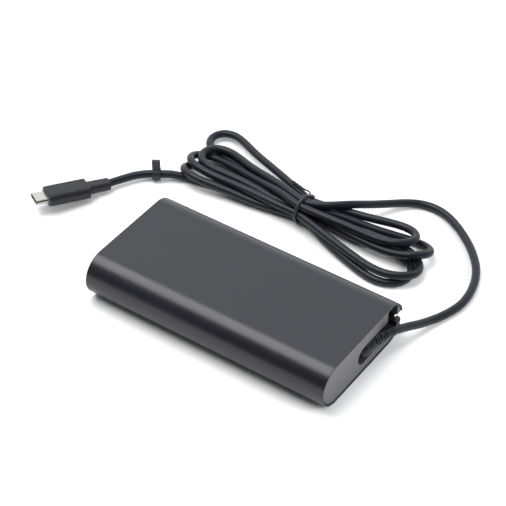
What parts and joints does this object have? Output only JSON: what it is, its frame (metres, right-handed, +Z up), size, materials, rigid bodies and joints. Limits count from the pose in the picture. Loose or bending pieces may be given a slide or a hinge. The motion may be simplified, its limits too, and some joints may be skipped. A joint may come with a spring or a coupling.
{
  "type": "laptop power adapter",
  "caption": "Slim rounded laptop power adapter with a three-pin mains inlet, a captive DC cord folded in a tied hank, a cord strap and a USB-C plug.",
  "frame": {"origin": "centre of the case's underside, on the surface it stands on", "axes": "+X along the case's length towards the low-voltage cord's end, +Y towards the side that the cord clip opens to, +Z up"},
  "size_m": [0.211, 0.1487, 0.022],
  "materials": {
    "case_plastic": "satin moulded, very fine texture",
    "cap_plastic": "smooth satin moulded",
    "black_plastic": "fine matte moulded",
    "tinned_metal": "bright tinned",
    "insulation_film": "thin satin film",
    "aluminium_sheet": "rolled sheet",
    "circuit_board": "green solder resist",
    "capacitor_box": "yellow moulded box",
    "capacitor_sleeve": "shrink sleeve",
    "ferrite": "sintered, dull",
    "copper_wire": "enamelled copper",
    "winding_tape": "wound polyester tape",
    "wire_black": "satin insulation",
    "wire_red": "satin insulation",
    "cord_rubber": "satin soft jacket",
    "tie_plastic": "satin coated wire",
    "strap_rubber": "matte soft",
    "plug_plastic": "satin overmould",
    "plug_steel": "bright nickel plate"
  },
  "bodies": {
    "adapter": {"housing_sleeve": "case_plastic", "dc_end_cap": "cap_plastic", "cord_clip": "black_plastic", "ac_end_cap": "cap_plastic", "ac_inlet": "black_plastic", "inlet_pin_line": "tinned_metal", "inlet_pin_neutral": "tinned_metal", "inlet_pin_earth": "tinned_metal", "insulation_sheet": "insulation_film", "bottom_heat_spreader": "aluminium_sheet", "top_heat_spreader": "aluminium_sheet", "main_circuit_board": "circuit_board", "input_fuse": "tinned_metal", "x_capacitor": "capacitor_box", "y_capacitor": "capacitor_sleeve", "common_mode_core": "ferrite", "common_mode_winding_1": "copper_wire", "common_mode_winding_2": "copper_wire", "bridge_rectifier": "black_plastic", "pfc_choke_core": "ferrite", "pfc_choke_winding": "copper_wire", "bulk_capacitor_1": "capacitor_sleeve", "bulk_capacitor_2": "capacitor_sleeve", "transformer_core": "ferrite", "transformer_winding": "winding_tape", "primary_heat_sink": "aluminium_sheet", "primary_transistor": "black_plastic", "optocoupler": "black_plastic", "secondary_heat_sink": "aluminium_sheet", "secondary_transistor": "black_plastic", "output_capacitor_1": "capacitor_sleeve", "output_capacitor_2": "capacitor_sleeve", "output_capacitor_3": "capacitor_sleeve", "usb_power_board": "circuit_board", "usb_power_controller": "black_plastic", "input_wire_line": "wire_black", "input_wire_neutral": "wire_black", "output_wire_positive": "wire_red", "output_wire_negative": "wire_black", "dc_strain_relief": "cord_rubber", "cord_lead": "cord_rubber", "cord_hank": "cord_rubber", "cable_tie": "tie_plastic", "cord_tail": "cord_rubber", "plug_neck": "plug_plastic", "plug_overmold": "plug_plastic", "usb_c_shell": "plug_steel", "usb_c_insert": "black_plastic"},
    "strap": {"cord_strap": "strap_rubber"}
  },
  "joints": [
    {"name": "strap_turn", "type": "hinge", "parent": "adapter", "child": "strap", "pos_m": [-0.092, 0.05615, 0.0035], "axis": [-0.8412, -0.5408, 0], "range_deg": [-95, 95]}
  ]
}
